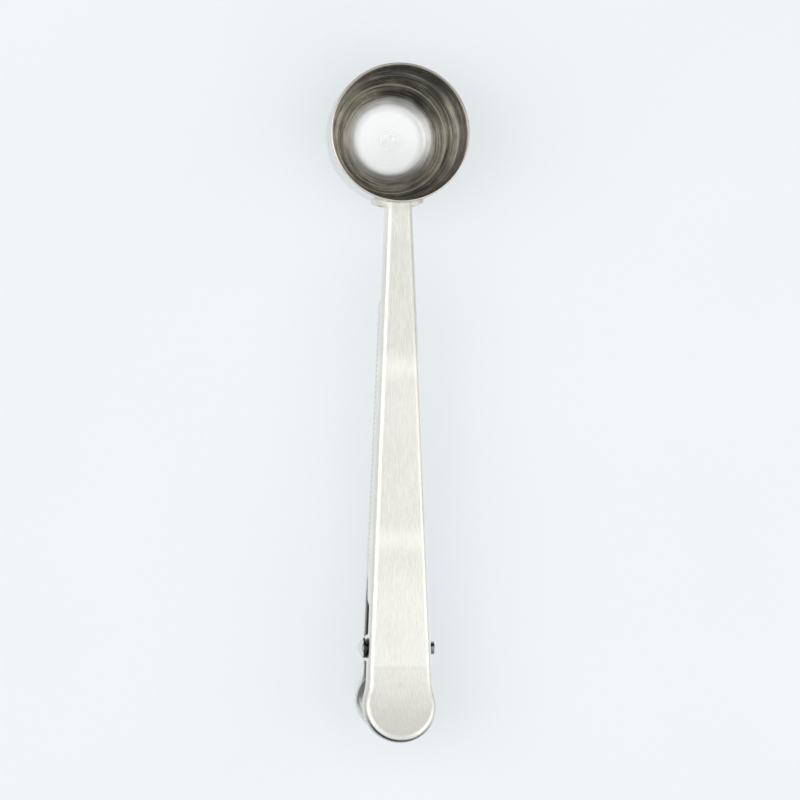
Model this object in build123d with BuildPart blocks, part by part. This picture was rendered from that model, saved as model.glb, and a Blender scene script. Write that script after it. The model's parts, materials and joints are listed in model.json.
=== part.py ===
from build123d import *
from math import asin, atan2, ceil, cos, hypot, radians, sin, tan
import os

# A steel measuring scoop whose handle is the upper half of a spring clip.
# Millimetres. The origin is the middle of the cup's foot, and +Z is up.
# The cup is at +Y and the handle runs towards -Y.
# A place on the handle is given by "along", its distance from the cup's axis towards the tail,
# and "depth", its distance below the handle's flat top face.

os.makedirs("parts", exist_ok=True)

# Cup
cup_radius = 18.0
cup_height = 22.6
cup_wall = 0.7
cup_straight_wall = 9.1
cup_foot_radius = 9.2
cup_foot_rounding = 3.0
cup_rim_rounding = 0.3

# Sheet steel of the handle and the lever
sheet = 0.8
bend_radius = 1.5
flange_draft = 6.0
web_turn_limit = 30.0
overrun = 4.0

# Handle, seen from above
handle_below_rim = 1.4
neck_width = 6.34
hinge_width = 15.6
tail_radius = 9.25
tail_centre_behind_hinge = 14.9
tail_blend_radius = 20.0

# Handle, seen from the side
tail_bend_behind_hinge = 4.4
tail_crease_radius = 20.0
tail_crease_angle = 3.0
tail_sweep_radius = 240.0
neck_flange_depth = 3.5
tail_flange_depth = 3.8
flange_root_rounding = 0.6

# Serrated seam between the handle and the lever
jaw_front_along = 43.5
jaw_nose_length = 1.5
tooth_pitch = 1.35
tooth_height = 0.6
teeth_end_before_hinge = 20.95
seam_depth_front = 5.0
seam_depth_back = 6.6
seam_gap = 0.2
jaw_step_length = 0.9
jaw_step_rounding = 0.5

# Side window between the teeth and the hinge
window_lip_before_hinge = 12.3
window_lip_depth = 5.2
window_front_before_hinge = 10.7
window_depth = 3.1
window_rounding = 1.0

# Hinge
hinge_along = 132.1
hinge_depth = 5.0
rivet_radius = 1.4
rivet_clearance = 0.05
handle_ear_radius = 3.3
handle_ear_flat = 0.3
lever_ear_radius = 2.5
ear_side_clearance = 0.15
ear_joggle_clearance = 0.4
ear_joggle_angle = 45.0

# Rivet ends
rivet_head_radius = 2.6
rivet_head_height = 1.7
rivet_head_rim = 0.3
rivet_tail_radius = 1.7
rivet_tail_height = 0.8
rivet_tail_rounding = 0.3
rivet_tail_dimple_radius = 0.7
rivet_tail_dimple_depth = 0.4
rivet_seat_clearance = 0.03

# Lever, seen from above
lever_inset = 0.15
lever_straight_before_hinge = 3.7
lever_tail_radius = 9.9
lever_tail_centre = 8.6
lever_tail_blend_radius = 10.0

# Lever, seen from the side
lever_front_depth = 8.6
lever_bend_depth = 12.2
lever_bend_behind_hinge = 3.9
lever_bend_rounding = 4.0
lever_back_flange = 3.4
lever_teeth_fall = 7.5
lever_tip_clearance = 0.15
jaw_nose_rounding = 1.0

# Saddle tab that joins the handle to the cup
tab_width = 13.0
tab_height = 9.0
tab_top_depth = 0.5
tab_corner_radius = 2.0
tab_clearance = 0.03
weld_mark_radius = 1.3
weld_mark_depth = 0.15
weld_mark_spacing = 7.4
weld_mark_depth_below_top = 6.6

# Torsion spring
wire_diameter = 1.4
coil_inner_radius = 2.0
coil_gap = 0.6
coil_rounds = 4.5
upper_leg_behind_hinge = 12.9
lower_leg_reach = 6.5
leg_clearance = 0.1
points_per_turn = 60

# Derived sizes
full_turn = radians(360)
quarter_turn = full_turn / 4
handle_top = cup_height - handle_below_rim
inner_bend_radius = bend_radius - sheet
tail_bend_along = hinge_along + tail_bend_behind_hinge
tail_centre_along = hinge_along + tail_centre_behind_hinge
window_lip_along = hinge_along - window_lip_before_hinge
window_front_along = hinge_along - window_front_before_hinge
lever_straight_along = hinge_along - lever_straight_before_hinge
lever_bend_along = hinge_along + lever_bend_behind_hinge
draft_slope = tan(radians(flange_draft))
sheet_across = sheet / cos(radians(flange_draft))
width_growth = (hinge_width - neck_width) / 2 / (hinge_along - cup_radius)
teeth_start_along = jaw_front_along + jaw_nose_length
toothed_length = hinge_along - teeth_end_before_hinge - teeth_start_along
tooth_count = round(toothed_length / tooth_pitch)
teeth_end_along = teeth_start_along + tooth_count * tooth_pitch
seam_slope = (seam_depth_back - seam_depth_front) / (teeth_end_along - teeth_start_along)
web_slope = (lever_bend_depth - lever_front_depth) / (lever_bend_along - jaw_front_along)
side_reach = lever_tail_radius + overrun
tail_end = tail_centre_along + tail_radius + overrun
crease = radians(tail_crease_angle)
up = Vector(0, 0, 1)
crease_along = tail_bend_along + tail_crease_radius * sin(crease)


def handle_half_width(along):
    """Half the width of the handle's top face before its edges are rounded."""
    return neck_width / 2 + width_growth * (along - cup_radius)


def handle_skin(along, depth):
    """Distance of the handle's outer side from the middle plane."""
    return handle_half_width(along) + draft_slope * depth


def seam_depth(along):
    """Depth of the middle of the teeth."""
    return seam_depth_front + seam_slope * (along - teeth_start_along)


def web_depth(along):
    """Depth of the lever's underside in front of its bend."""
    return lever_front_depth + web_slope * (along - jaw_front_along)


def world(along, depth, across=0.0):
    """A place on the handle in the part's own axes."""
    return Vector(across, -along, handle_top - depth)


def teeth(drop):
    """Zigzag of the seam from front to back, lowered by a drop."""
    points = []
    for i in range(2 * tooth_count + 1):
        along = teeth_start_along + i * tooth_pitch / 2
        swing = tooth_height / 2 if i % 2 else -tooth_height / 2
        points.append((along, seam_depth(along) + swing + drop))
    return points


def plan(depth):
    """Plane seen from above: x is across, y is along, and extrusions go down."""
    return Plane(origin=world(0, depth), x_dir=(1, 0, 0), z_dir=(0, 0, -1))


# Plane seen from the side: x is along, y is depth
side = Plane(origin=world(0, 0), x_dir=(0, -1, 0), z_dir=(1, 0, 0))


# Cup
with BuildPart() as scoop_cup:
    with BuildSketch(Plane.XZ):
        with BuildLine():
            wall_foot = (cup_radius, cup_height - cup_straight_wall)
            foot_edge = (cup_foot_radius, 0)
            Polyline((0, cup_height), (0, 0), foot_edge)
            TangentArc(wall_foot, foot_edge, tangent=(0, -1))
            Polyline(wall_foot, (cup_radius, cup_height), (0, cup_height))
        make_face()
        foot_corner = vertices().sort_by_distance(foot_edge)[0]
        fillet(foot_corner, radius=cup_foot_rounding)
    revolve(axis=Axis.Z)
    mouth = faces().sort_by(Axis.Z)[-1]
    offset(amount=-cup_wall, openings=mouth)
    rim_edges = faces().sort_by(Axis.Z)[-1].edges()
    fillet(rim_edges, radius=cup_rim_rounding)
scoop_cup.part.label = "scoop_cup"
export_step(scoop_cup.part, "parts/scoop_cup.step")


# Handle
def handle_outline(inset):
    """Outline in the plane that the drafted sides grow down from."""
    shrink = inset + draft_slope * overrun
    start = cup_radius - overrun
    front = handle_half_width(start) - shrink
    back = handle_half_width(tail_centre_along) - shrink
    Polygon(
        (-front, start),
        (front, start),
        (back, tail_centre_along),
        (-back, tail_centre_along),
        align=None,
    )
    with Locations((0, tail_centre_along)):
        Circle(tail_radius - shrink)
    shoulders = vertices().filter_by_position(
        Axis.Y, start + overrun, tail_centre_along - overrun / 2
    )
    fillet(shoulders, radius=tail_blend_radius + shrink)


def tail_rise(along):
    """How far the tail has bent upward at a place behind its crease."""
    last = asin(sin(crease) + (along - crease_along) / tail_sweep_radius)
    return tail_crease_radius * (1 - cos(crease)) + tail_sweep_radius * (cos(crease) - cos(last))


def tail_line(depth):
    """Draws the tail's upward bend at a depth below the top face, and returns its two ends."""
    start = (tail_bend_along, depth)
    knee = (crease_along, depth - tail_rise(crease_along))
    end = (tail_end, depth - tail_rise(tail_end))
    TangentArc(start, knee, tangent=(1, 0))
    TangentArc(knee, end, tangent=(cos(crease), -sin(crease)))
    return start, end


def long_edges(shape, *ways):
    """Edges between the sides of a channel and its web, whose faces look in the given ways."""
    least = cos(radians(web_turn_limit))

    def looks_out(face):
        normal = face.normal_at(face.center())
        return max(normal.dot(way) for way in ways) > least

    return shape.faces().filter_by(looks_out).edges().filter_by(Axis.X, reverse=True)


with BuildPart() as handle_hollow:
    with BuildSketch(plan(-overrun)):
        handle_outline(sheet_across)
    extrude(amount=2 * overrun + lever_bend_depth, taper=-flange_draft)
    with BuildSketch(side):
        with BuildLine():
            bend, end = tail_line(sheet)
            front = cup_radius - 2 * overrun
            Polyline(
                end,
                (end[0], lever_bend_depth),
                (front, lever_bend_depth),
                (front, sheet),
                bend,
            )
        make_face()
    extrude(amount=side_reach, both=True, mode=Mode.INTERSECT)
    fillet(long_edges(handle_hollow.part, up), radius=inner_bend_radius)

with BuildPart() as saddle_tab:
    with BuildSketch():
        Circle(cup_radius + tab_clearance + sheet)
        Circle(cup_radius + tab_clearance, mode=Mode.SUBTRACT)
    extrude(amount=cup_height)
    with BuildSketch(Plane.XZ):
        with Locations((0, handle_top - tab_top_depth - tab_height / 2)):
            RectangleRounded(tab_width, tab_height, tab_corner_radius)
    extrude(amount=cup_radius + overrun, mode=Mode.INTERSECT)
    tab_skin = cup_radius + tab_clearance + sheet
    for way in (-1, 1):
        turn = asin(way * weld_mark_spacing / 2 / tab_skin)
        outward = Vector(sin(turn), -cos(turn), 0)
        level = Vector(0, 0, handle_top - weld_mark_depth_below_top)
        with BuildSketch(Plane(origin=outward * tab_skin + level, z_dir=outward)):
            Circle(weld_mark_radius)
        extrude(amount=weld_mark_depth, both=True, mode=Mode.SUBTRACT)

with BuildPart() as handle:
    with BuildSketch(plan(-overrun)):
        handle_outline(0)
    extrude(amount=2 * overrun + lever_bend_depth, taper=-flange_draft)
    with BuildSketch(side):
        with BuildLine():
            front = cup_radius - 2 * overrun
            bend, end = tail_line(0)
            low_bend, low_end = tail_line(tail_flange_depth)
            Line(end, low_end)
            Polyline(bend, (front, 0), (front, neck_flange_depth))
            ear_front = hinge_along - handle_ear_radius
            ear_back = hinge_along + handle_ear_radius
            ear_bottom = hinge_depth + handle_ear_radius
            ear_rounding = handle_ear_radius - handle_ear_flat / 2
            FilletPolyline(
                low_bend,
                (ear_back, tail_flange_depth),
                (ear_back, ear_bottom),
                (ear_front, ear_bottom),
                (ear_front, window_depth),
                (window_front_along, window_depth),
                (window_lip_along, window_lip_depth),
                teeth(0)[-1],
                radius=[
                    flange_root_rounding,
                    ear_rounding,
                    ear_rounding,
                    window_rounding,
                    window_rounding,
                    window_rounding,
                ],
            )
            Polyline(*teeth(0))
            step_foot = (jaw_front_along, teeth(0)[0][1])
            step_head = (jaw_front_along - jaw_step_length, neck_flange_depth)
            FilletPolyline(
                teeth(0)[0],
                step_foot,
                step_head,
                (front, neck_flange_depth),
                radius=jaw_step_rounding,
            )
        make_face()
    extrude(amount=side_reach, both=True, mode=Mode.INTERSECT)
    fillet(long_edges(handle.part, up), radius=bend_radius)
    add(handle_hollow.part, mode=Mode.SUBTRACT)
    with BuildSketch():
        Circle(cup_radius + tab_clearance)
    extrude(amount=cup_height, mode=Mode.SUBTRACT)
    add(saddle_tab.part)
    with BuildSketch(side):
        with Locations((hinge_along, hinge_depth)):
            Circle(rivet_radius + rivet_clearance)
    extrude(amount=side_reach, both=True, mode=Mode.SUBTRACT)
handle.part.label = "handle"
export_step(handle.part, "parts/handle.step")



# Lever
def lever_half_width(along):
    """Half the lever's width, which follows the teeth back to its straight part."""
    place = min(along, lever_straight_along)
    return handle_skin(place, seam_depth(place)) - lever_inset


turn_drop = handle_top - lever_tip_clearance - lever_bend_depth
turn_reach = lever_tail_centre + lever_tail_radius - bend_radius
sink = asin((turn_drop - bend_radius) / hypot(turn_reach, bend_radius))
tail_angle = sink + atan2(bend_radius, turn_reach)
web_angle = atan2(web_slope, 1)
half_turn = (tail_angle + web_angle) / 2
bend_point = world(lever_bend_along, lever_bend_depth)
halving_plane = Plane(origin=bend_point, z_dir=(0, -cos(half_turn), -sin(half_turn)))
tail_plane = Plane(
    origin=bend_point, x_dir=(-1, 0, 0), z_dir=(0, -sin(tail_angle), cos(tail_angle))
)
lever_root = lever_half_width(lever_bend_along)
ear_front = hinge_along - lever_ear_radius
ear_back = hinge_along + lever_ear_radius
joggle_top = hinge_depth + handle_ear_radius + ear_joggle_clearance


def lever_plan(inset):
    """Outline of the lever in front of its bend, seen from above."""
    start = jaw_front_along - overrun
    far = lever_bend_along + overrun
    front = lever_half_width(start) - inset
    back = lever_root - inset
    Polygon(
        (-front, start),
        (front, start),
        (back, lever_straight_along),
        (back, far),
        (-back, far),
        (-back, lever_straight_along),
        align=None,
    )
    knees = vertices().filter_by_position(Axis.Y, start + overrun, lever_bend_along)
    fillet(knees, radius=tail_blend_radius)


def lever_tail_outline(inset):
    """Outline of the lever's tail in its own plane, with the bend at zero."""
    with Locations((0, -overrun)):
        Rectangle(
            2 * (lever_root - inset),
            lever_tail_centre + overrun,
            align=(Align.CENTER, Align.MIN),
        )
    with Locations((0, lever_tail_centre)):
        Circle(lever_tail_radius - inset)
    shoulders = vertices().filter_by_position(Axis.Y, 0, lever_tail_centre - overrun / 2)
    fillet(shoulders, radius=lever_tail_blend_radius + inset)


def lever_knee(rise):
    """Corner of the bend, seen from the side, at a height above the lever's underside."""
    slant = rise / cos(tail_angle - half_turn)
    return lever_bend_along + slant * sin(half_turn), lever_bend_depth - slant * cos(half_turn)


def lever_line(rise, start, rounding):
    """Draws a line at a height above the lever's underside, and returns its two ends."""
    knee = lever_knee(rise)
    reach = lever_tail_centre + lever_tail_radius + overrun
    first = (start, web_depth(start) - rise / cos(web_angle))
    last = (knee[0] + reach * cos(tail_angle), knee[1] + reach * sin(tail_angle))
    FilletPolyline(first, knee, last, radius=rounding)
    return first, last


with BuildPart() as front_hollow:
    with BuildSketch(plan(0)):
        lever_plan(sheet)
    extrude(amount=lever_bend_depth + overrun)
    split(bisect_by=halving_plane, keep=Keep.BOTTOM)

with BuildPart() as lever_hollow:
    with BuildSketch(tail_plane):
        lever_tail_outline(sheet)
    extrude(amount=lever_back_flange + overrun, both=True)
    split(bisect_by=halving_plane, keep=Keep.TOP)
    add(front_hollow.part)
    with BuildSketch(side):
        with BuildLine():
            floor_start, floor_end = lever_line(
                sheet, jaw_front_along - overrun, lever_bend_rounding + sheet
            )
            Polyline(floor_end, (floor_end[0], 0), (floor_start[0], 0), floor_start)
        make_face()
    extrude(amount=side_reach, both=True, mode=Mode.INTERSECT)
    fillet(long_edges(lever_hollow.part, -up, -tail_plane.z_dir), radius=inner_bend_radius)

with BuildPart() as lever_front:
    with BuildSketch(plan(0)):
        lever_plan(0)
    extrude(amount=lever_bend_depth + overrun)
    split(bisect_by=halving_plane, keep=Keep.BOTTOM)

with BuildPart() as lever_ears:
    ear_skin = handle_skin(ear_front, hinge_depth - lever_ear_radius) - sheet_across
    ear_skin = ear_skin - ear_side_clearance
    joggle_end = joggle_top + (lever_root - ear_skin) / tan(radians(ear_joggle_angle))
    mitre = sheet * tan(radians(ear_joggle_angle) / 2)
    with BuildSketch(Plane(origin=world(ear_back, 0), x_dir=(1, 0, 0), z_dir=(0, 1, 0))):
        Polygon(
            (ear_skin, 0),
            (ear_skin, joggle_top),
            (lever_root, joggle_end),
            (lever_root, joggle_end + sheet),
            (lever_root - sheet, joggle_end + sheet),
            (lever_root - sheet, joggle_end + mitre),
            (ear_skin - sheet, joggle_top + mitre),
            (ear_skin - sheet, 0),
            align=None,
        )
        mirror(about=Plane.YZ)
    extrude(amount=ear_back - ear_front)
    with BuildSketch(side):
        with Locations((hinge_along, hinge_depth)):
            Circle(lever_ear_radius)
            Rectangle(
                ear_back - ear_front,
                joggle_end + sheet - hinge_depth,
                align=(Align.CENTER, Align.MIN),
            )
    extrude(amount=side_reach, both=True, mode=Mode.INTERSECT)

with BuildPart() as clip_lever:
    with BuildSketch(tail_plane):
        lever_tail_outline(0)
    extrude(amount=lever_back_flange + overrun, both=True)
    split(bisect_by=halving_plane, keep=Keep.TOP)
    add(lever_front.part)
    with BuildSketch(side):
        with BuildLine():
            crest = teeth(seam_gap)
            under_start, under_end = lever_line(0, jaw_front_along, lever_bend_rounding)
            edge_start, edge_end = lever_line(
                lever_back_flange, teeth_end_along + lever_teeth_fall, lever_bend_rounding
            )
            Line(under_end, edge_end)
            Line(edge_start, crest[-1])
            Polyline(*crest)
            FilletPolyline(
                crest[0],
                (jaw_front_along, crest[0][1]),
                under_start,
                radius=jaw_nose_rounding,
            )
        make_face()
        with Locations((hinge_along, hinge_depth)):
            Rectangle(
                ear_back - ear_front,
                joggle_end - hinge_depth,
                align=(Align.CENTER, Align.MIN),
                mode=Mode.SUBTRACT,
            )
    extrude(amount=side_reach, both=True, mode=Mode.INTERSECT)
    fillet(long_edges(clip_lever.part, -up, -tail_plane.z_dir), radius=bend_radius)
    add(lever_hollow.part, mode=Mode.SUBTRACT)
    add(lever_ears.part)
    with BuildSketch(side):
        with Locations((hinge_along, hinge_depth)):
            Circle(rivet_radius + rivet_clearance)
    extrude(amount=side_reach, both=True, mode=Mode.SUBTRACT)
clip_lever.part.label = "clip_lever"
export_step(clip_lever.part, "parts/clip_lever.step")


# Rivet
def rivet_seat(radius):
    """Distance from the middle plane at which a rivet end clears the slanting flange."""
    slant = hypot(width_growth, draft_slope)
    return handle_skin(hinge_along, hinge_depth) + radius * slant + rivet_seat_clearance


with BuildPart() as hinge_rivet:
    hinge_point = world(hinge_along, hinge_depth)
    with BuildSketch(Plane(origin=hinge_point, x_dir=(1, 0, 0), z_dir=(0, -1, 0))):
        with BuildLine():
            head = -rivet_seat(rivet_head_radius)
            tail = rivet_seat(rivet_tail_radius)
            crown = head - rivet_head_height
            end = tail + rivet_tail_height
            Line((crown, 0), (end - rivet_tail_dimple_depth, 0))
            TangentArc(
                (crown, 0), (head - rivet_head_rim, rivet_head_radius), tangent=(0, 1)
            )
            Polyline(
                (head - rivet_head_rim, rivet_head_radius),
                (head, rivet_head_radius),
                (head, rivet_radius),
                (tail, rivet_radius),
                (tail, rivet_tail_radius),
                (end, rivet_tail_radius),
                (end, rivet_tail_dimple_radius),
                (end - rivet_tail_dimple_depth, 0),
            )
        make_face()
        fillet(
            vertices().sort_by_distance((end, rivet_tail_radius))[0], radius=rivet_tail_rounding
        )
    revolve(axis=Axis(hinge_point, (1, 0, 0)))
hinge_rivet.part.label = "hinge_rivet"
export_step(hinge_rivet.part, "parts/hinge_rivet.step")


# Torsion spring
# Its wire starts under the handle's tail, winds round the rivet, passes close over the lever's
# bend and ends above the lever's tail.
coil_radius = coil_inner_radius + wire_diameter / 2
coil_pitch = wire_diameter + coil_gap
leg_lift = leg_clearance + wire_diameter / 2
upper_leg_along = hinge_along + upper_leg_behind_hinge
upper_leg_depth = sheet + leg_lift - tail_rise(upper_leg_along)
lower_knee = lever_knee(sheet + leg_lift)


def leg_turn(along, depth):
    """Direction from the hinge to a place on a leg, and the turn from it to the leg itself."""
    reach = hypot(along - hinge_along, depth - hinge_depth)
    return atan2(depth - hinge_depth, along - hinge_along), asin(coil_radius / reach)


def coil_place(angle, across):
    """Middle of the wire on the coil."""
    along = hinge_along + coil_radius * cos(angle)
    return world(along, hinge_depth + coil_radius * sin(angle), across)


def coil_heading(angle, lean):
    """Direction of the wire on the coil, leaning sideways by a slope."""
    return Vector(-lean, -sin(angle), cos(angle)).normalized()


def draw_biarc(start, heading, finish, last_heading):
    """Two arcs that join two points with a given heading at each."""
    gap = finish - start
    both = heading + last_heading
    bend = 2 * (1 - heading.dot(last_heading))
    reach = (-gap.dot(both) + hypot(gap.dot(both), (bend * gap.dot(gap)) ** (1 / 2))) / bend
    near = start + heading * reach
    far = finish - last_heading * reach
    middle = (near + far) * (1 / 2)
    TangentArc(start, middle, tangent=heading)
    TangentArc(middle, finish, tangent=far - near)


toward_upper, upper_turn = leg_turn(upper_leg_along, upper_leg_depth)
toward_lower, lower_turn = leg_turn(*lower_knee)
upper_way = toward_upper + upper_turn
lower_way = toward_lower - lower_turn
lower_along = lower_knee[0] + lower_leg_reach * cos(lower_way)
lower_depth = lower_knee[1] + lower_leg_reach * sin(lower_way)
first_angle = upper_way - quarter_turn
coil_sweep = upper_way - lower_way + full_turn * coil_rounds
coil_length = coil_pitch * coil_sweep / full_turn
coil_lean = coil_pitch / (full_turn * coil_radius)
coil_steps = ceil(coil_sweep / quarter_turn)

with BuildPart() as torsion_spring:
    with BuildLine() as wire_line:
        upper_end = world(upper_leg_along, upper_leg_depth, coil_length / 2)
        place = coil_place(first_angle, coil_length / 2)
        heading = coil_heading(first_angle, 0)
        Line(upper_end, place)
        for i in range(1, coil_steps + 1):
            share = i / coil_steps
            angle = first_angle - coil_sweep * share
            next_place = coil_place(angle, coil_length / 2 - coil_length * share)
            next_heading = coil_heading(angle, coil_lean if i < coil_steps else 0)
            draw_biarc(place, heading, next_place, next_heading)
            place = next_place
            heading = next_heading
        Line(place, world(lower_along, lower_depth, -coil_length / 2))
    with BuildSketch(Plane(origin=upper_end, z_dir=coil_heading(first_angle, 0))):
        Circle(wire_diameter / 2)
    sweep()
torsion_spring.part.label = "torsion_spring"
export_step(torsion_spring.part, "parts/torsion_spring.step")

# Least gap between turns, measured on points of the wire that are more than half a turn apart
wire_path = wire_line.wire()
point_count = round(wire_path.length / (full_turn * coil_radius) * points_per_turn)
points = [wire_path.position_at(i / point_count) for i in range(point_count + 1)]
apart = points_per_turn // 2
gaps = [
    (points[j] - points[i]).length - wire_diameter
    for i in range(len(points))
    for j in range(i + apart, len(points))
]
print(f"least gap of the spring to itself: {min(gaps):.2f} mm")
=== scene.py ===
# %% [markdown]
# # A steel measuring scoop with a bag clip in its handle
#
# The scoop was made to its real shape elsewhere and is loaded here as a fixed frame. It is five
# pieces of steel: a drawn cup, a pressed handle, a pressed clip lever, a rivet and a spring. This
# lesson dresses them. Each piece gets its finish, the spring gets a copy, and a table, the light
# and a camera are added.

# %% Load the scoop
import json
from math import pi, radians, tan

import bpy
from mathutils import Matrix, Vector

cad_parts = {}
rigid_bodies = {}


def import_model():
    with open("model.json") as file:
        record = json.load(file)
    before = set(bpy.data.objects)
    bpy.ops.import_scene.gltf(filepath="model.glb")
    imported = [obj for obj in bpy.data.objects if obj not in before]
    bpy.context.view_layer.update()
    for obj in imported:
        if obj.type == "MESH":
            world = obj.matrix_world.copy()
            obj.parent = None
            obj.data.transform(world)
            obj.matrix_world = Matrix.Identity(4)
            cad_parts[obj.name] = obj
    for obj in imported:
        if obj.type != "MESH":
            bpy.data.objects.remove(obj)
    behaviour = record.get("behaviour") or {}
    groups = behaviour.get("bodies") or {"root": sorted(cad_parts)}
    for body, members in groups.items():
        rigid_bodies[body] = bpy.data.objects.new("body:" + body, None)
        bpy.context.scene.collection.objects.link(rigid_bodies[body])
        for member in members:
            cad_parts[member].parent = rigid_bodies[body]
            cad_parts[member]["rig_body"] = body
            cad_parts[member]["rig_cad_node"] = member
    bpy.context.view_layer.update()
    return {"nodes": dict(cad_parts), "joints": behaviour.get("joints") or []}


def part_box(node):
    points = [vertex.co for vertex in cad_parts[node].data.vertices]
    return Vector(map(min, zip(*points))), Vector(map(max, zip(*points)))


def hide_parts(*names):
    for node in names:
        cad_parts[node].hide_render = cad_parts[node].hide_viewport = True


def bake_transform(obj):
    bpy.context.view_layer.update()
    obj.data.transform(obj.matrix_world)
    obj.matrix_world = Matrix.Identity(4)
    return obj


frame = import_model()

print("nodes:", sorted(frame["nodes"]))

# %% [markdown]
# ## Camera
#
# The scoop lies on its cup and is seen from almost straight above through a long lens. The
# camera leans a little to the left and towards the thumb tail, which is why the left flange, the
# rivet's head and the clip's own tail peep out. A camera could be turned by hand until the view
# fits, but its numbers would then say nothing. A camera object looks along its own -Z, so here
# its axes are worked out from where it stands and what it looks at.

# %% Camera
aim = Vector((0.00146, -0.06811, 0.010))
lean_left = radians(7.86)
lean_to_tail = radians(3.31)
camera_roll = radians(0.09)
camera_distance = 1.5
picture_pixels, focal_pixels = 800, 5814.0
frame_width_at_aim = picture_pixels / focal_pixels * camera_distance

away = Vector((-tan(lean_left), -tan(lean_to_tail), 1)).normalized()
right = Vector((camera_roll, 1, 0)).cross(away).normalized()
turn = Matrix((right, away.cross(right), away)).transposed()

bpy.ops.object.select_all(action="DESELECT")
bpy.ops.object.camera_add(location=aim + away * camera_distance, rotation=turn.to_euler())
camera = bpy.context.object
camera.data.sensor_width = 36
camera.data.lens = camera.data.sensor_width * camera_distance / frame_width_at_aim
bpy.context.scene.camera = camera
print("lens", round(camera.data.lens, 1), "mm, frame", round(frame_width_at_aim, 4), "m wide")

# %% [markdown]
# ## Writing shader maths as sums
#
# A finish is a network of nodes. Drawn by hand, a sum such as "one minus the mask" is a node and
# two wires. Here a small class stands for a node's output, and adding or multiplying two of them
# adds the Math node that does it. Its last three methods are the shapes that masks are made of:
# a soft step, a hill and a plateau.

# %% A node's output
class Signal:
    """The output of a shader node, which can be used in sums."""

    def __init__(self, finish, socket):
        self.finish = finish
        self.socket = socket

    def maths(self, operation, *inputs):
        return self.finish.node("ShaderNodeMath", *inputs, settings={"operation": operation})

    def __add__(self, other):
        return self.maths("ADD", self, other)

    def __sub__(self, other):
        return self.maths("SUBTRACT", self, other)

    def __rsub__(self, other):
        return self.maths("SUBTRACT", other, self)

    def __mul__(self, other):
        return self.maths("MULTIPLY", self, other)

    def __truediv__(self, other):
        return self.maths("DIVIDE", self, other)

    def __pow__(self, other):
        return self.maths("POWER", self, other)

    def __gt__(self, other):
        return self.maths("GREATER_THAN", self, other)

    def __lt__(self, other):
        return self.maths("LESS_THAN", self, other)

    __radd__ = __add__
    __rmul__ = __mul__

    def sine(self):
        return self.maths("SINE", self)

    def size(self):
        return self.maths("ABSOLUTE", self)

    def root(self):
        return self.maths("SQRT", self)

    def above(self, floor):
        return self.maths("MAXIMUM", self, floor)

    def rise(self, low, high):
        """0 below low, 1 above high, and a soft step between."""
        settings = {"interpolation_type": "SMOOTHSTEP"}
        return self.finish.node("ShaderNodeMapRange", self, low, high, settings=settings)

    def hill(self, centre, reach):
        """1 at a value, falling softly to 0 at a distance from it."""
        return 1 - (self - centre).size().rise(0, reach)

    def plateau(self, start, full, fading, end):
        """0 up to start, 1 from full to fading, and 0 from end."""
        return self.rise(start, full) * (1 - self.rise(fading, end))


# %% [markdown]
# ## Building a material
#
# Every other node goes through one method that makes it, sets it up and joins its inputs. The
# methods after it are the nodes that several finishes share. A finish is read from the Object
# coordinates, so a streak stays on its piece and turns with it. Image textures would need the
# pieces unwrapped and would blur close up. Noise stays sharp at any distance.

# %% A material while it is built
mm_per_metre = 1000


class Finish:
    """A material, or the world, while its nodes are being made."""

    def __init__(self, owner):
        owner.use_nodes = True
        self.tree = owner.node_tree
        self.tree.nodes.clear()

    def node(self, kind, *inputs, output=0, settings=None, **named):
        """Makes a node, sets it up, and joins its inputs by place or by name."""
        made = self.tree.nodes.new(kind)
        for key, value in (settings or {}).items():
            setattr(made, key, value)
        for place, value in [*enumerate(inputs), *named.items()]:
            self.join(value, made.inputs[place])
        return Signal(self, made.outputs[output]) if made.outputs else None

    def join(self, value, socket):
        """Wires a signal to an input, or sets the input to a number or a colour."""
        if isinstance(value, Signal):
            self.tree.links.new(value.socket, socket)
        else:
            socket.default_value = value

    def parts(self, vector):
        """The x, y and z of a vector."""
        return [self.node("ShaderNodeSeparateXYZ", vector, output=i) for i in range(3)]

    def place(self):
        """x, y and z on the object, in millimetres, and the point itself in metres."""
        point = self.node("ShaderNodeTexCoord", output="Object")
        return [part * mm_per_metre for part in self.parts(point)], point

    def noise(self, point, scale, detail):
        return self.node("ShaderNodeTexNoise", point, Scale=scale, Detail=detail)

    def grain(self, point, stretch, scale, detail):
        """Noise that is drawn out by a different amount along each axis."""
        return self.noise(self.node("ShaderNodeMapping", point, Scale=stretch), scale, detail)

    def blend(self, factor, first, second):
        """Mixes two colours, the first at 0 and the second at 1."""
        mix = self.node("ShaderNodeMix", factor, settings={"data_type": "RGBA"}).socket.node
        colour_inputs = [socket for socket in mix.inputs if socket.type == "RGBA"]
        self.join(first, colour_inputs[0])
        self.join(second, colour_inputs[1])
        return Signal(self, [socket for socket in mix.outputs if socket.type == "RGBA"][0])

    def bump(self, height, distance, strength):
        return self.node("ShaderNodeBump", Height=height, Distance=distance, Strength=strength)

    def steel(self, colour, roughness, normal):
        """Ends the material as bare metal."""
        inputs = {"Base Color": colour, "Metallic": 1.0, "Roughness": roughness, "Normal": normal}
        self.node("ShaderNodeOutputMaterial", self.node("ShaderNodeBsdfPrincipled", **inputs))


# %% [markdown]
# ## Putting a finish on a piece
#
# A loaded piece keeps its mesh, its place and its material slots. Only the material in each slot
# is swapped, so nothing that was made to size can be spoiled. A colour is three numbers from 0
# to 1 that stand for light and not for the screen, so 0.5 looks paler than halfway.

# %% Colours, and dressing a piece
def rgb(red, green, blue):
    """A colour as a colour input takes it."""
    return red, green, blue, 1


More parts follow.
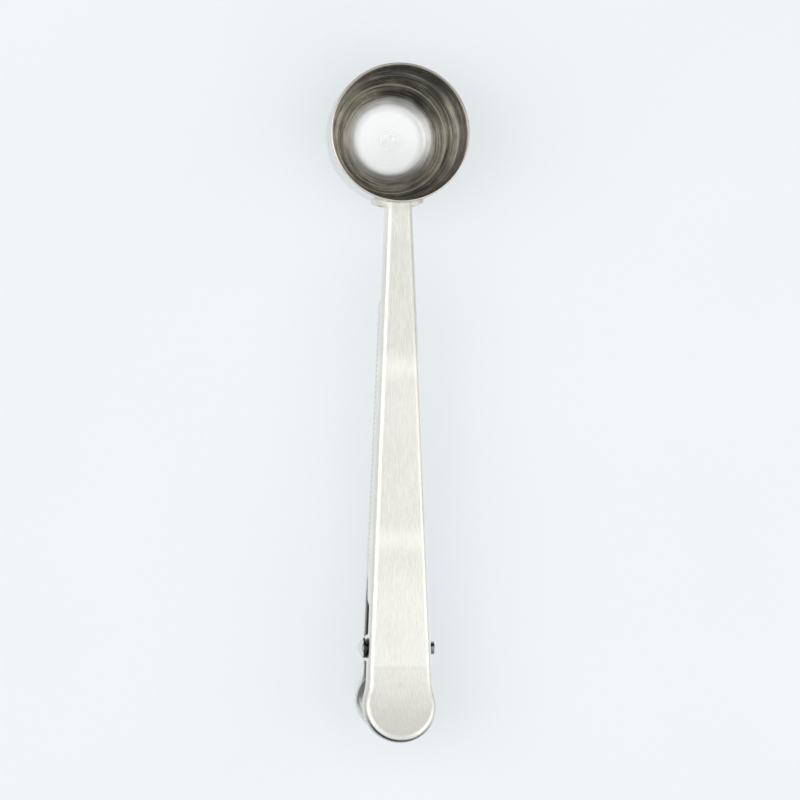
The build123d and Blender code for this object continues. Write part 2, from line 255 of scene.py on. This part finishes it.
def dress(node_name, material):
    """Gives a finish to every material slot of a piece."""
    piece = frame["nodes"][node_name]
    for slot in piece.material_slots:
        slot.material = material
    print(node_name, "wears", material.name, "of", len(material.node_tree.nodes), "nodes")


# %% [markdown]
# ## The cup: which skin a point is on
#
# The cup is drawn from a flat steel disc, and its inside looks different from its outside. Two
# materials on two sets of faces could show that, but the cup is one solid with one material. Its
# shape tells the skins apart instead. Seen from the side, the bowl is an arc round a point near
# the axis, with a straight wall above it, and a line halfway through the steel parts inside from
# outside.

# %% Places on the cup, in millimetres
arc_centre_radius, arc_centre_height, arc_radius = 3.245, 13.5, 14.4
wall_radius, wall_foot, foot_middle = 17.65, 13.4, 0.35

spun_steel = bpy.data.materials.new("spun_steel")
f = Finish(spun_steel)
(x, y, z), point = f.place()
radius = (x * x + y * y).root()
below_arc_centre = (arc_centre_height - z).above(0)
arc = ((radius - arc_centre_radius) ** 2 + below_arc_centre * below_arc_centre).root()
in_bowl = (arc < arc_radius) * (z > foot_middle)
in_wall = (radius < wall_radius) * (z > wall_foot)
inside = 1 - (1 - (in_bowl + in_wall)).above(0)
print("the skins of the cup part at", wall_radius, "mm from its axis")

# %% [markdown]
# ## The cup: turned rings
#
# The drawn cup is polished while it spins, so every mark on it runs in rings. Evenly spaced
# rings would look printed. Noise is used instead, at a place that changes fast on the way out
# from the axis and slowly on the way round, so that it is drawn out into rings that come and go.

# %% Rings and patches of the cup
near_axis = 0.01
turn_x, turn_y = x / (radius + near_axis), y / (radius + near_axis)
travel = radius + z * 0.8


def ring_noise(outward, round_axis, detail):
    """Noise in rings: the scales are for the way out and the way round."""
    parts = travel * outward, turn_x * round_axis, turn_y * round_axis
    return f.noise(f.node("ShaderNodeCombineXYZ", *parts), scale=1.0, detail=detail)


fine_rings = ring_noise(outward=2.6, round_axis=1.3, detail=3.0)
broad_rings = ring_noise(outward=0.7, round_axis=0.7, detail=2.0)
patches = f.noise(point, scale=230.0, detail=4.0)
ring_light = (fine_rings - 0.5) * 1.9 + (broad_rings - 0.5) * 0.4
print("rings and patches:", len(f.tree.nodes), "nodes so far")

# %% [markdown]
# ## The cup: bright foot, stained and shaded wall
#
# Polishing reaches the flat foot best. The wall inside is darker and browner, partly from the
# drawing stain that it keeps and partly from painted shade, for the dark room that it faces and
# mirrors. More painted shade darkens it near the lip and at the two ends, towards the handle and
# away from it. A pale fan of painted sheen lies across it on the side away from the handle.
# The foot is darker towards the handle and has a swirl in its middle, where the spinning cup
# hardly moves. Each of these is a mask that shifts one blend between two steels.

# %% The foot inside
dull_foot, bright_foot = rgb(0.80, 0.80, 0.785), rgb(1.0, 1.0, 0.99)
swirl_radius = 6.0
swirl = (1 - radius.rise(0.5, swirl_radius)) * (0.34 + (fine_rings - 0.5) * 2.4)
towards_handle = (0 - y).rise(-3.0, 9.0) * 0.75
foot_tone = 0.95 + ring_light * 0.3 - swirl - towards_handle
foot_colour = f.blend(foot_tone, dull_foot, bright_foot)
print("the swirl is", 2 * swirl_radius, "mm across")

# %% The wall inside
brown_wall, clean_wall = rgb(0.045, 0.038, 0.025), rgb(0.76, 0.73, 0.63)
# Painted shade: darker near the lip and at the two ends of the wall, towards and away from the
# handle.
painted_shade_near_lip = z.rise(14.0, 19.5) * 0.46
painted_shade_at_ends = turn_y.size().rise(0.4, 1.0) * radius.rise(11.0, 15.0) * 0.14
# Painted sheen: a pale fan across the wall on the side away from the handle.
fan_width = 1 - (turn_x + 0.1).size().rise(0.03, 0.3)
fan = fan_width * (turn_y > 0) * radius.hill(centre=10.0, reach=3.2)
mottle = (patches - 0.5) * 1.5
shade = 0.41 + ring_light * 1.35 + fan * 0.7 - (painted_shade_near_lip + painted_shade_at_ends) + mottle
wall_colour = f.blend(shade, brown_wall, clean_wall)
stain_start, stain_full = 7.6, 13.4
# The stain here is partly a real stain and partly painted shade.
stain_and_shade = (radius.rise(stain_start, stain_full) * (0.75 + 0.4 * patches) * inside).above(0)
inner_colour = f.blend(stain_and_shade, foot_colour, wall_colour)
print("the stain starts", stain_start, "mm from the axis")

# %% [markdown]
# ## The cup: its outside
#
# The outside is plain and evenly polished, so the same rings shift its tone only a little. The
# mask of the inner skin then chooses between the two sides, which makes them one finish.

# %% The outside of the cup
dull_outside, bright_outside = rgb(0.66, 0.665, 0.655), rgb(0.88, 0.885, 0.875)
outer_colour = f.blend(0.5 + ring_light * 0.4, dull_outside, bright_outside)
colour = f.blend(inside, outer_colour, inner_colour)
print("cup colours:", len(f.tree.nodes), "nodes so far")

# %% [markdown]
# ## The cup: punch line and lip
#
# A fine bright line runs round the bowl where the drawing punch ended: a painted highlight. The
# lip is a little warmer in tone than the wall. Neither has a height that could be seen, so they
# are colour, with a shallow bump for the line, and not shape. The ring between the foot and the
# wall is rougher, because the polishing wheel only grazes the curve there.

# %% Punch line, lip and polish
punch_radius, ring_relief = 14.2, 0.00003
punch_line = radius.hill(centre=punch_radius, reach=0.3) * inside
# Painted highlight: the bright line where the drawing punch ended.
colour = f.blend(punch_line * 0.7, colour, rgb(0.92, 0.90, 0.83))
colour = f.blend(z.rise(21.9, 22.4) * 0.5, colour, rgb(0.66, 0.56, 0.42))
grazed = radius.hill(centre=9.6, reach=2.6)
roughness = 0.15 + 0.14 * fine_rings + 0.06 * patches + grazed * 0.26
relief = fine_rings * 0.6 + broad_rings * 0.4 + punch_line * 0.5
f.steel(colour, roughness, f.bump(relief, distance=ring_relief, strength=0.7))
dress("scoop_cup", spun_steel)

# %% [markdown]
# ## Inside and outside of a pressed channel
#
# The handle and the lever are pressed from sheet into channels. Only the outside is polished. The
# inside is given painted shade, dark as it stands in the channel's shadow, and it shows in the
# gap between the two and from below. As with the cup, the skins are told apart by shape: a
# point is on the inner skin when it is farther in than half the sheet, counted from the flange or
# from the web, and round the bend between the two. Distances here are in millimetres, and "along"
# is the distance from the cup's axis towards the tail.

# %% The inner skin of a channel
bend_radius, sheet = 1.5, 0.8


def inside_of_channel(from_side, from_web):
    """1 on the inner skin, from the distances in from the outer skins of flange and web."""
    side_gap = (bend_radius - from_side).above(0)
    web_gap = (bend_radius - from_web).above(0)
    return (side_gap * side_gap + web_gap * web_gap).root() < bend_radius - sheet / 2


print("channel of", sheet, "mm sheet, bent to", bend_radius, "mm")

# %% [markdown]
# ## Where the handle's and the lever's edges are
#
# A mask along an edge needs the distance of a point from that edge, and a shader can't ask the
# mesh for it. The sizes that the pieces were pressed to are therefore written once more as sums.
# From above, the handle is two straight edges that spread towards the tail, and an arc round its
# end. From the side, its top is flat as far as the crease and then rises in a curve. The lever
# has a knee behind the hinge, so its tail is measured along directions that lean with it.

# %% The handle's shape
handle_top, crease_along = 21.2, 136.5
neck_along, neck_half_width, handle_widening = 18, 3.17, 0.0406
tail_along, tail_radius = 147.0, 9.25


def handle_depths(x, along, z):
    """How far in a point lies from the handle's outline and below its top face."""
    past_crease = (along - crease_along).above(0)
    top = handle_top + past_crease * 0.045 + past_crease * past_crease * 0.0022
    straight_edge = neck_half_width + (along - neck_along) * handle_widening - x.size()
    tail_edge = tail_radius - (x * x + (along - tail_along) ** 2).root()
    in_tail = along.rise(139.0, 146.0)
    from_outline = straight_edge * (1 - in_tail) + tail_edge * in_tail
    return from_outline, top - z


print("handle: tail", 2 * tail_radius, "mm wide, crease", crease_along, "mm along")

# %% The lever's shape
knee_along, knee_height = 136.3, 9.8
tail_cosine, tail_sine = 0.862, 0.508
jaw_along, jaw_height, web_fall = 44.0, 13.38, 0.0389
lever_half_width, jaw_narrowing, lever_widening = 8.24, 2.95, 0.043
lever_tail_centre, lever_tail_radius, lever_tail_start = 8.6, 9.9, 2.6


def lever_depths(x, along, z):
    """How far in from the lever's flange and web a point lies, and how far down its tail."""
    past_knee, below_knee = along - knee_along, knee_height - z
    down_tail = past_knee * tail_cosine + below_knee * tail_sine
    off_tail = past_knee * tail_sine - below_knee * tail_cosine
    off_front = z - jaw_height + (along - jaw_along) * web_fall
    from_web = off_front.above(off_tail) + sheet
    narrowing = (jaw_narrowing - (along - 60.0) * lever_widening).above(0)
    straight_edge = lever_half_width - narrowing - x.size()
    tail_edge = lever_tail_radius - (x * x + (down_tail - lever_tail_centre) ** 2).root()
    in_tail = down_tail > lever_tail_start
    from_side = straight_edge * (1 - in_tail) + tail_edge * in_tail
    return from_side, from_web, down_tail


print("lever: tail", 2 * lever_tail_radius, "mm wide, knee", knee_along, "mm along")

# %% [markdown]
# ## Between the teeth
#
# The lower edge of the handle and the upper edge of the lever are cut into small teeth that meet
# in a seam. Painted shade darkens the gaps between them. The teeth themselves are in the loaded
# shape. The painted shade follows them: a sine wave with the pitch of the teeth, held to a narrow
# strip along the seam.

# %% Painted shade between the teeth
tooth_pitch, teeth_start, teeth_end = 1.35, 44.0, 111.5
seam_along, seam_depth, seam_fall = 45.0, 5.0, 0.0245
tooth_shade_colour, tooth_shade_strength = rgb(0.20, 0.22, 0.25), 0.75


def painted_tooth_shade(along, depth):
    """How much painted shade there is at a place on the handle's or the lever's edge."""
    off_seam = (depth - seam_depth - (along - seam_along) * seam_fall).size()
    wave = (along * (2 * pi / tooth_pitch)).sine() * 0.5 + 0.5
    on_teeth = along.plateau(teeth_start, teeth_start + 1.5, teeth_end - 1.5, teeth_end)
    return (1 - off_seam.rise(0.25, 0.9)) * wave * on_teeth * tooth_shade_strength


print("teeth from", teeth_start, "to", teeth_end, "mm along, pitch", tooth_pitch, "mm")

# %% [markdown]
# ## Brushed sheet
#
# The sheet was brushed along its length before it was pressed. Brushing leaves streaks and, on
# them, hair-fine lines that run with the handle. A picture of brushed steel could be wrapped
# round it, but it would repeat. Noise that is squeezed across the handle and drawn out along it
# gives both sizes of streak, and a third, soft noise gives the clouds of a sheet that isn't
# quite flat.

# %% Start and end of a sheet finish
# Tones of the painted shade on the inner skin of a channel.
inner_shade_dark, inner_shade_light = rgb(0.03, 0.028, 0.026), rgb(0.13, 0.125, 0.115)
brush_relief = 0.000006


def start_sheet(name):
    """Begins a sheet finish: its place and the noise of its brushing."""
    material = bpy.data.materials.new(name)
    f = Finish(material)
    (x, y, z), point = f.place()
    streaks = f.grain(point, stretch=(14.0, 0.9, 14.0), scale=420.0, detail=4.0)
    hairs = f.grain(point, stretch=(30.0, 0.5, 30.0), scale=900.0, detail=2.0)
    clouds = f.grain(point, stretch=(1.0, 0.6, 1.0), scale=55.0, detail=3.0)
    light = 0.47 + (streaks - 0.5) * 1.4 + (hairs - 0.5) * 1.2 + (clouds - 0.5) * 0.6
    return material, f, (x, 0 - y, z), (streaks, hairs, clouds), light


def end_sheet(f, colour, inner_shade, noises, haze):
    """Paints shade on the unpolished inner skin, and ends the finish as brushed steel."""
    streaks, hairs, clouds = noises
    inner_shade_steel = f.blend(clouds, inner_shade_dark, inner_shade_light)
    colour = f.blend(inner_shade * 0.92, colour, inner_shade_steel)
    roughness = 0.26 + 0.12 * streaks + 0.05 * clouds + inner_shade * 0.12 + haze
    scratches = streaks * 0.6 + hairs * 0.4
    f.steel(colour, roughness, f.bump(scratches, distance=brush_relief, strength=0.6))


print("raw steel:", inner_shade_dark[:3], "to", inner_shade_light[:3])

# %% [markdown]
# ## The handle: bands across its face
#
# The flat face of the handle is slightly bowed here and there, so it mirrors now a lighter and
# now a darker part of the room in wide, soft bands. The bows are too shallow to model: a few
# hundredths of a millimetre are enough to make one. They are painted as a change in the tone of
# the steel, at the places where the photograph shows them.

# %% Bands of the handle
handle_steel, f, (x, along, z), noises, light = start_sheet("brushed_handle_sheet")
streaks, hairs, clouds = noises
from_outline, depth = handle_depths(x, along, z)
near_bow = along.hill(centre=60.2, reach=4.2) * (0.1 + clouds * 0.5)
far_bow = along.hill(centre=104.5, reach=4.5) * 0.34
dim_neck = along.plateau(24.0, 30.0, 55.0, 58.0) * 0.14
light_hinge = along.plateau(108.0, 122.0, 136.0, 139.5) * 0.22
dim_tail = along.rise(138.0, 158.0) * 0.62
bands = near_bow + far_bow - dim_neck + light_hinge - dim_tail
print("bands:", len(f.tree.nodes), "nodes so far")

# %% [markdown]
# ## The handle: painted highlights and painted shade
#
# A painted highlight makes the bends along both sides the whitest part, the left one along its
# whole length, and brightest round the end of the tail. Painted light makes the sides below them
# light too. Where the tail starts to rise, the sheet has a fine crease, and painted shade draws a
# dark line across the face there. Round the end of the tail, painted shade lays a narrow dark
# band just below the bend. Warm streaks are where a brush stroke went deeper.

# %% Light and colour of the handle
dull_sheet, bright_sheet = rgb(0.712, 0.705, 0.640), rgb(1.0, 0.99, 0.915)
towards_end = ((along - tail_along) / tail_radius).rise(0.0, 0.9)
# Painted highlight on the bends, brightest round the end, and painted light on the flanges below
# them.
highlight_side = (x < 0) + (x > 0) * along.rise(45.0, 65.0)
on_bend = 1 - from_outline.rise(towards_end - 0.2, 1.7)
painted_bend_highlight = on_bend * highlight_side * (1 - depth.rise(1.0, 2.0))
on_flange = depth.rise(1.2, 2.2)
# Painted shade: a dark line across the face at the crease.
crease = along.hill(centre=137.4, reach=0.9) * (1 - depth.rise(0.4, 1.0))
light = light + bands + painted_bend_highlight * (0.55 + towards_end * 0.35) + on_flange * 0.3 - crease * 0.16
colour = f.blend(light, dull_sheet, bright_sheet)
print("handle light:", len(f.tree.nodes), "nodes so far")

# %% Warm streaks and painted shade between the teeth and round the end
deep_strokes = ((streaks - 0.5).above(0) * 2.6).rise(0.0, 1.0)
colour = f.blend(deep_strokes * 0.85, colour, rgb(0.92, 0.86, 0.72))
# Painted shade between the teeth of the handle.
colour = f.blend(painted_tooth_shade(along, depth), colour, tooth_shade_colour)
# Painted shade: a dark band just below the bend round the end of the tail.
below_bend = depth.rise(0.4, 0.65) * (1 - depth.rise(1.5, 2.4) * 0.65)
painted_end_shade = (towards_end - x * 0.03) * below_bend
colour = f.blend(painted_end_shade * 0.95, colour, rgb(0.05, 0.053, 0.07))
print("handle colour:", len(f.tree.nodes), "nodes so far")

# %% [markdown]
# ## The handle: the tab on the cup
#
# The handle ends in a curved tab that is spot-welded to the cup's wall. Heat left a straw-brown
# tint round the two welds and at the tab's upper corners. The tab isn't brushed like the rest,
# so it is greyer and more matt. A tint is a stain in the oxide, with no height at all, so it is
# a round mask on each side of the middle.

# %% Tab and heat of the welds
def both_sides(centre_x, centre_z, full, faded):
    """1 near a point of the tab and near its mirror image, and 0 farther off."""
    across, up = x.size() - centre_x, z - centre_z
    return 1 - (across * across + up * up).root().rise(full, faded)


weld_offset, weld_height = 3.7, 14.6
corner_offset, corner_height = 5.4, 20.5
neck_edge = 3.6
near_cup = 1 - along.rise(19.3, 20.4)
tab = near_cup * (x.size() > neck_edge)
colour = f.blend(tab * 0.2, colour, rgb(0.70, 0.70, 0.69))
corner_heat = both_sides(corner_offset, corner_height, full=0.1, faded=1.2)
weld_heat = both_sides(weld_offset, weld_height, full=0.95, faded=2.47)
heat = (corner_heat + weld_heat) * near_cup * clouds * 0.8
colour = f.blend(heat, colour, rgb(0.40, 0.29, 0.21))
print("welds", 2 * weld_offset, "mm apart")

# %% [markdown]
# ## The handle: inner skin and polish
#
# The flanges lean outwards as they go down, so the mask of the inner skin has to lean with them.
# It starts past the tab, where the channel is open below. A highlight is soft where steel is
# rough and crisp where it is smooth. In the photograph the highlight on the left bend is soft
# and the flange beside it is clear, so the bend and the tab are made a little rougher and the
# flanges smoother.

# %% Skins and polish of the handle
flange_lean, channel_start = 0.105, 25.0
from_flange = from_outline + depth * flange_lean
# Painted shade on the inner skin of the handle's channel.
inner_shade = inside_of_channel(from_flange, depth) * (along > channel_start)
left_bend = (1 - from_outline.rise(0.9, 2.6)) * (1 - depth.rise(0.7, 1.5)) * (x < 0)
smooth_flange = on_flange * (1 - near_cup)
haze = left_bend * 0.14 + near_cup * 0.2 - smooth_flange * 0.12
end_sheet(f, colour, inner_shade, noises, haze)
dress("handle", handle_steel)

# %% [markdown]
# ## The lever
#
# The lever is the same brushed sheet, seen mostly from the side and from below. Its tail is
# where the thumb goes. Painted light brightens it towards its end, where it lies in the handle's
# shade, and lifts the painted shade of its inner skin there. The painted light fades in along the
# tail, so no second material with a hard edge is needed.

# %% Finish of the lever
lever_steel, f, (x, along, z), noises, light = start_sheet("brushed_lever_sheet")
from_side, from_web, down_tail = lever_depths(x, along, z)
colour = f.blend(light, rgb(0.70, 0.70, 0.68), rgb(0.95, 0.95, 0.92))
# Painted shade between the teeth of the lever.
colour = f.blend(painted_tooth_shade(along, handle_top - z), colour, tooth_shade_colour)
# Painted light: the lever's tail brighter towards its end, where it lies in the handle's shade.
painted_tail_light = down_tail.rise(-1.0, 2.0) * 0.23 + down_tail.rise(8.5, 12.5) * 0.7
colour = f.blend(painted_tail_light, colour, rgb(0.97, 0.97, 0.96))
inner_shade = inside_of_channel(from_side, from_web) * (1 - painted_tail_light)
end_sheet(f, colour, inner_shade, noises, 0.0)
dress("clip_lever", lever_steel)

# %% [markdown]
# ## The rivet
#
# The rivet's head is a polished dome, set by a press. What shows is a mirror with very faint
# turned rings and a few rub marks. The rings go round the rivet's own axis, which runs across
# the handle, so they are measured from that axis. Where the rivet meets the ear, painted shade
# makes a dark foot, for the narrow gap under the head, a little lighter on the peened side. It is
# what makes the dome stand out.

# %% Finish of the rivet
ear_outside, dimple_edge, wear_relief = 8.62, 1.3, 0.000008
dull_dome, bright_dome = rgb(0.66, 0.66, 0.64), rgb(0.90, 0.90, 0.88)

polished_rivet = bpy.data.materials.new("polished_rivet")
f = Finish(polished_rivet)
(x, y, z), point = f.place()
hinge = frame["joints"][0]["pos_m"]
across, upward = y - hinge[1] * mm_per_metre, z - hinge[2] * mm_per_metre
rivet_radius = (across * across + upward * upward).root()
ring_place = f.node("ShaderNodeCombineXYZ", rivet_radius, x * 0.3, 0.0)
rings = f.noise(ring_place, scale=9.0, detail=2.0)
rubs = f.grain(point, stretch=(1.0, 2.5, 1.0), scale=1400.0, detail=3.0)
colour = f.blend(0.5 + (rings - 0.5) * 0.6 + (rubs - 0.5) * 0.5, dull_dome, bright_dome)
near_ear = 1 - (x.size() - ear_outside).rise(0.42, 0.72)
# Painted shade: a dark foot where the head meets the ear.
painted_shade_foot = near_ear * (rivet_radius > dimple_edge) * (1 - (x > 0) * 0.35)
colour = f.blend(painted_shade_foot * 0.96, colour, rgb(0.035, 0.033, 0.03))
wear = f.bump(rings * 0.6 + rubs * 0.4, distance=wear_relief, strength=0.4)
f.steel(colour, 0.10 + 0.10 * rubs, wear)
dress("hinge_rivet", polished_rivet)

# %% [markdown]
# ## The spring: a copy
#
# The torsion spring is one wire wound round the rivet. Its upper leg lies under the handle's
# tail and its lower leg turns with the lever, so when the clip opens each turn takes its share
# of the twist. A stiff spring could not do that, and a loaded piece may not be bent. The spring
# is therefore copied. The copy's loose triangles are merged into one skin, so that it shades
# smoothly round the wire, and the two labels that tie it to the loaded piece are taken off.

# %% Copy of the spring
same_point, round_up_to = 0.000002, radians(40)

bpy.ops.object.select_all(action="DESELECT")
original = frame["nodes"]["torsion_spring"]
original.select_set(True)
bpy.context.view_layer.objects.active = original
bpy.ops.object.duplicate()
spring = bpy.context.object
spring.name = "wound_spring"
bpy.ops.object.parent_clear(type="CLEAR_KEEP_TRANSFORM")
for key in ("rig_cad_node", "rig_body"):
    if key in spring:
        del spring[key]
bpy.ops.object.mode_set(mode="EDIT")
bpy.ops.mesh.select_all(action="SELECT")
bpy.ops.mesh.remove_doubles(threshold=same_point)
bpy.ops.mesh.normals_make_consistent(inside=False)
bpy.ops.object.mode_set(mode="OBJECT")
bpy.ops.object.shade_smooth_by_angle(angle=round_up_to)
print("spring:", len(spring.data.vertices), "points")

# %% [markdown]
# ## The spring: drawn wire
#
# Spring wire is pulled through a die and keeps a grey, slightly oily film with tiny pits. It
# can't be seen from the camera and is looked at only when the clip is open, so two noises are
# enough: one for the film and one for the pits.

# %% Finish of the spring
dark_wire, light_wire = rgb(0.30, 0.29, 0.27), rgb(0.60, 0.59, 0.56)

drawn_wire = bpy.data.materials.new("drawn_spring_wire")
f = Finish(drawn_wire)
(x, y, z), point = f.place()
pits = f.noise(point, scale=2600.0, detail=3.0)
film = f.noise(point, scale=420.0, detail=2.0)
colour = f.blend(0.5 + (film - 0.5) * 1.1 + (pits - 0.5) * 0.4, dark_wire, light_wire)
f.steel(colour, 0.24 + 0.2 * pits, f.bump(pits, distance=wear_relief, strength=0.5))
for slot in spring.material_slots:
    slot.material = drawn_wire
print("the spring wears", drawn_wire.name)

# %% [markdown]
# ## The spring: the stretch of the twist
#
# The twist would be shared along the rivet, from the outer round on one side to the outer round
# on the other. The two ends of that stretch are worked out from the loaded spring's box, the
# loaded spring is hidden, and the copy's place is baked into its mesh.

# %% Twist of the spring
wire = 0.0014
spring_low, spring_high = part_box("torsion_spring")
twist_start = Vector((spring_high.x - wire, hinge[1], hinge[2]))
twist_end = Vector((spring_low.x + wire, hinge[1], hinge[2]))
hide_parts("torsion_spring")
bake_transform(spring)
shared_over = (twist_start - twist_end).length * mm_per_metre
print("twist is shared over", round(shared_over, 2), "mm")

# %% [markdown]
# ## Table
#
# The scoop lies on a plain, pale, faintly blue surface. A thick board would only show its top,
# so a flat sheet is enough, cut into a few squares and so large that its edge is far off.

# %% The sheet of the table
bpy.ops.object.select_all(action="DESELECT")
bpy.ops.mesh.primitive_plane_add(size=10.0, location=(0, 0, 0))
table = bpy.context.object
table.name = "table"
bpy.ops.object.mode_set(mode="EDIT")
bpy.ops.mesh.select_all(action="SELECT")
bpy.ops.mesh.subdivide(number_cuts=4)
bpy.ops.object.mode_set(mode="OBJECT")
print("table:", table.dimensions.x, "m wide")

# %% [markdown]
# ## Finish of the table
#
# The ground in the photograph is paler than any lit surface that also takes a soft shadow. A
# brighter lamp would burn out the steel. Part of the table's colour is therefore given off as if
# it glowed, but only to rays from the camera and rays that come off the steel. The rest is matt
# paint, which the scoop still shades, and light from the lamps bounces off it as usual.

# %% Paint of the table
dim_paint, pale_paint = rgb(0.835, 0.868, 0.890), rgb(0.885, 0.921, 0.944)
glow_share = 0.54

table_paint = bpy.data.materials.new("pale_table")
f = Finish(table_paint)
point = f.node("ShaderNodeTexCoord", output="Object")
cloud = f.noise(point, scale=9.0, detail=2.0)
speck = f.noise(point, scale=700.0, detail=2.0)
colour = f.blend(0.5 + (cloud - 0.5) * 0.7 + (speck - 0.5) * 0.25, dim_paint, pale_paint)
matt = f.node("ShaderNodeBsdfDiffuse", colour)
glow = f.node("ShaderNodeEmission", colour, 1.0)
ray_kinds = ("Is Camera Ray", "Is Glossy Ray", "Is Transmission Ray")
seen, glossy, passing = [f.node("ShaderNodeLightPath", output=kind) for kind in ray_kinds]
mixed = f.node("ShaderNodeMixShader", (seen + glossy + passing) * glow_share, matt, glow)
f.node("ShaderNodeOutputMaterial", mixed)
table.data.materials.append(table_paint)
print("table paint:", len(f.tree.nodes), "nodes")

# %% [markdown]
# ## The room
#
# Bare steel shows what stands round it, so the room matters more than the lamps. It could be a
# photograph of a room wrapped round the scene. A few sums of the direction say the same and stay
# plain: a band of light over the scoop from left to right that dims towards the two ends, more
# light beyond the thumb tail, which the tail's end and the far wall of the cup face, and a glow
# on the left, which the left flange faces.

# %% Sky
world = bpy.data.worlds.new("bright_room")
bpy.context.scene.world = world
f = Finish(world)
dx, dy, dz = f.parts(f.node("ShaderNodeTexCoord", output="Generated"))
band = 1 - dy.size().rise(0.26, 0.62)
above_table = dz.rise(-0.02, 0.06)
higher = 0.42 + dz.rise(0.10, 0.60) * 0.55
beyond_tail = dy.hill(centre=-0.72, reach=0.34) * dz.rise(0.05, 0.3) * 1.05
left_glow = dx.hill(centre=-0.68, reach=0.42) * band * dz.rise(0.15, 0.4) * 0.4
darkest = 0.05
level = darkest + band * above_table * higher + beyond_tail + left_glow
room = f.node("ShaderNodeBackground", rgb(0.97, 0.985, 1.0), level)
f.node("ShaderNodeOutputWorld", room)
print("sky:", len(f.tree.nodes), "nodes")

# %% [markdown]
# ## Lamps
#
# The photograph was taken in a bright room with a large soft light to the left: the left edge of
# the handle has a broad white line, the right edge a thinner one with a dark rim. Two area lamps
# stand for these. A third, overhead, lights the ground to its pale tone. The steel is told not
# to mirror it, because it would flood the flat face of the handle.

# %% Area lamps
def soft_lamp(name, place, size, power):
    """A large lamp that looks at the scoop."""
    bpy.ops.object.select_all(action="DESELECT")
    facing = (aim - Vector(place)).to_track_quat("-Z", "Y").to_euler()
    bpy.ops.object.light_add(type="AREA", location=place, rotation=facing)
    lamp = bpy.context.object
    lamp.name = name
    lamp.data.shape = "RECTANGLE"
    lamp.data.size, lamp.data.size_y = size
    lamp.data.energy = power
    print(name, power, "W")
    return lamp


soft_lamp("left_softbox", place=(-1.2, -0.08, 1.3), size=(1.1, 1.1), power=5.2)
soft_lamp("right_softbox", place=(0.45, -0.28, 0.55), size=(0.34, 0.40), power=0.44)
ceiling = soft_lamp("ceiling_light", place=(0.0, -0.1, 1.5), size=(1.5, 1.5), power=4.7)
ceiling.visible_glossy = False

# %% [markdown]
# ## View
#
# The Standard view only turns light into the tones of a screen. Other views lay a film look over
# it, which would grey the pale steel.

# %% Finish
bpy.context.scene.view_settings.view_transform = "Standard"
